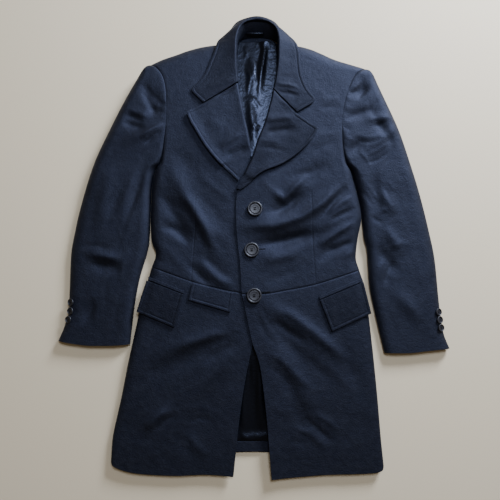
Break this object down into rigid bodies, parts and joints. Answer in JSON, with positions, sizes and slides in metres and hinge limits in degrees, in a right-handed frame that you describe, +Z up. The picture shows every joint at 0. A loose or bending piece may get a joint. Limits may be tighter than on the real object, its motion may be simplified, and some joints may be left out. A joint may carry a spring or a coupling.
{
  "type": "single-breasted coat",
  "caption": "Men's single-breasted wool coat with a waist seam, notched lapels and flapped pockets, laid flat with its front up.",
  "frame": {"origin": "middle of the coat's footprint, on the surface that it lies on", "axes": "+Y runs up the coat to its collar, +X to the wearer's left and +Z up from the surface, out of the front"},
  "size_m": [0.7754, 0.9376, 0.041],
  "materials": {
    "wool": "navy-black wool melton with a short pressed nap",
    "satin": "black satin lining with sharp highlights",
    "button": "dark horn-like button, polished on the rim"
  },
  "bodies": {
    "root": {"back_right": "wool", "back_left": "wool", "front_right": "wool", "front_left": "wool", "skirt_right": "wool", "skirt_left": "wool", "top_sleeve_right": "wool", "top_sleeve_left": "wool", "under_sleeve_right": "wool", "under_sleeve_left": "wool", "lapel_right": "wool", "lapel_left": "wool", "collar_fall": "wool", "collar_stand": "wool", "hip_flap_right": "wool", "hip_flap_left": "wool", "ticket_flap_right": "wool", "pocket_welt_right": "wool", "pocket_welt_left": "wool", "lining_neck": "satin", "lining_skirt": "satin", "back_hem_turn_up": "wool", "front_button_1": "button", "front_button_2": "button", "front_button_3": "button", "cuff_button_right_1": "button", "cuff_button_right_2": "button", "cuff_button_right_3": "button", "cuff_button_left_1": "button", "cuff_button_left_2": "button", "cuff_button_left_3": "button"}
  },
  "joints": []
}
